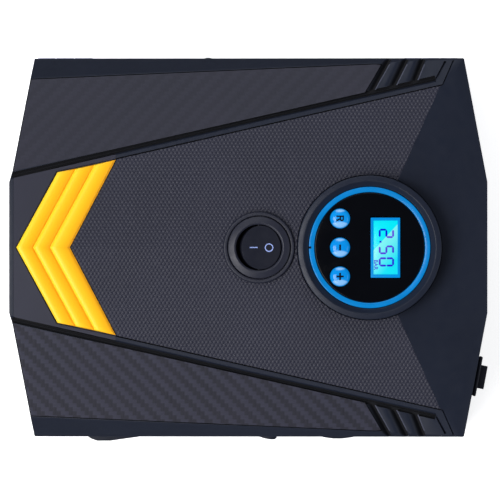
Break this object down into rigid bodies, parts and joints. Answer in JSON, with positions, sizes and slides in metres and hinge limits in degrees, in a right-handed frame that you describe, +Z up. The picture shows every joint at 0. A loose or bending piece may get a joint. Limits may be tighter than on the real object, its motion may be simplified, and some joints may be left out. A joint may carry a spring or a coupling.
{
  "type": "portable tyre inflator",
  "caption": "Small 12 volt tyre inflator lying on its back, with a wedge-shaped case, yellow chevron trim, round pressure display, rocker switch and hinged stowage cover.",
  "frame": {"origin": "under the middle of the case, on the surface that the feet stand on", "axes": "+Z up out of the control face, +Y to the display and lamp end, which is the top of the display's text, +X to the right of that text"},
  "size_m": [0.1431, 0.1779, 0.0779],
  "materials": {
    "black_abs": "matte moulded ABS, near black",
    "dimpled_abs": "near-black ABS with a fine raised dot texture",
    "carbon_weave": "ABS moulded with a twill weave",
    "yellow_abs": "satin yellow-orange ABS",
    "blue_clear": "glossy blue plastic",
    "gloss_black": "gloss black plastic",
    "lcd_cyan": "backlit cyan liquid crystal display",
    "grey_rubber": "dark grey rubber",
    "black_rubber": "black rubber and black moulded parts",
    "steel": "plain steel",
    "cast_aluminium": "cast and machined aluminium",
    "brass": "machined brass",
    "white_nylon": "natural nylon",
    "board_green": "green circuit board",
    "clear_lens": "clear polycarbonate",
    "reflector": "metallised reflector"
  },
  "bodies": {
    "housing": {"upper_shell": "black_abs", "lower_shell": "black_abs", "display_bezel": "black_abs", "power_switch_body": "black_abs", "centre_panel": "dimpled_abs", "side_panel_right": "carbon_weave", "side_panel_left": "carbon_weave", "chevron_trim": "yellow_abs", "light_ring": "blue_clear", "lcd_frame": "blue_clear", "display_lens": "gloss_black", "lamp_switch_body": "gloss_black", "pressure_sensor": "gloss_black", "lcd_glass": "lcd_cyan", "foot_1": "grey_rubber", "foot_2": "grey_rubber", "foot_3": "grey_rubber", "foot_4": "grey_rubber", "motor_end_cap": "black_rubber", "head_gasket": "black_rubber", "motor_saddle": "black_rubber", "power_cord_gland": "black_rubber", "air_tube": "black_rubber", "sensor_tube": "black_rubber", "power_lead": "black_rubber", "hinge_pin_1": "steel", "hinge_pin_2": "steel", "case_screw_1": "steel", "case_screw_2": "steel", "case_screw_3": "steel", "case_screw_4": "steel", "head_screw_1": "steel", "head_screw_2": "steel", "motor_can": "steel", "crank_bearing": "steel", "pump_frame": "cast_aluminium", "cylinder": "cast_aluminium", "cylinder_head": "cast_aluminium", "air_hose_union": "brass", "lcd_module": "white_nylon", "display_board": "board_green", "lamp_board": "board_green", "lamp_lens": "clear_lens", "lamp_reflector": "reflector"},
    "power_rocker": {"power_rocker": "gloss_black"},
    "lamp_rocker": {"lamp_rocker": "gloss_black"},
    "key_r": {"key_r": "blue_clear"},
    "key_minus": {"key_minus": "blue_clear"},
    "key_plus": {"key_plus": "blue_clear"},
    "crank": {"crank_gear": "white_nylon", "crank_shaft": "steel", "crank_pin": "steel", "crank_counterweight": "steel"},
    "rotor": {"motor_rotor": "steel", "motor_pinion": "brass", "cooling_fan": "black_rubber"},
    "piston": {"piston_rod": "cast_aluminium", "piston_seal": "black_rubber"},
    "base_cover": {"base_cover": "black_abs"},
    "cover_latch": {"cover_latch": "black_abs"}
  },
  "joints": [
    {"name": "power_rocker_hinge", "type": "hinge", "parent": "housing", "child": "power_rocker", "pos_m": [0, 0.0039, 0.071], "axis": [1, 0, 0], "range_deg": [0, 16]},
    {"name": "lamp_rocker_hinge", "type": "hinge", "parent": "housing", "child": "lamp_rocker", "pos_m": [0.04733, 0.08231, 0.0504], "axis": [0.9826, -0.1858, 0], "range_deg": [0, 14]},
    {"name": "key_r_press", "type": "slide", "parent": "housing", "child": "key_r", "axis": [0, 0, -1], "range_m": [0, 0.0005], "stiffness_N_per_m": 900},
    {"name": "key_minus_press", "type": "slide", "parent": "housing", "child": "key_minus", "axis": [0, 0, -1], "range_m": [0, 0.0005], "stiffness_N_per_m": 900},
    {"name": "key_plus_press", "type": "slide", "parent": "housing", "child": "key_plus", "axis": [0, 0, -1], "range_m": [0, 0.0005], "stiffness_N_per_m": 900},
    {"name": "crank_spin", "type": "hinge", "parent": "housing", "child": "crank", "pos_m": [0.01, -0.0244, 0.045], "axis": [0, 1, 0], "continuous": true},
    {"name": "rotor_spin", "type": "hinge", "parent": "housing", "child": "rotor", "pos_m": [0.03, -0.0244, 0.045], "axis": [0, 1, 0], "continuous": true},
    {"name": "piston_slide", "type": "slide", "parent": "housing", "child": "piston", "axis": [1, 0, 0], "range_m": [0, 0.014]},
    {"name": "base_cover_hinge", "type": "hinge", "parent": "housing", "child": "base_cover", "pos_m": [-0.069, 0, 0.0052], "axis": [0, 1, 0], "range_deg": [0, 105]},
    {"name": "cover_latch_slide", "type": "slide", "parent": "housing", "child": "cover_latch", "axis": [0, -1, 0], "range_m": [0, 0.005]}
  ],
  "couplings": [
    {"joint": "rotor_spin", "follows": "crank_spin", "ratio": -4}
  ]
}
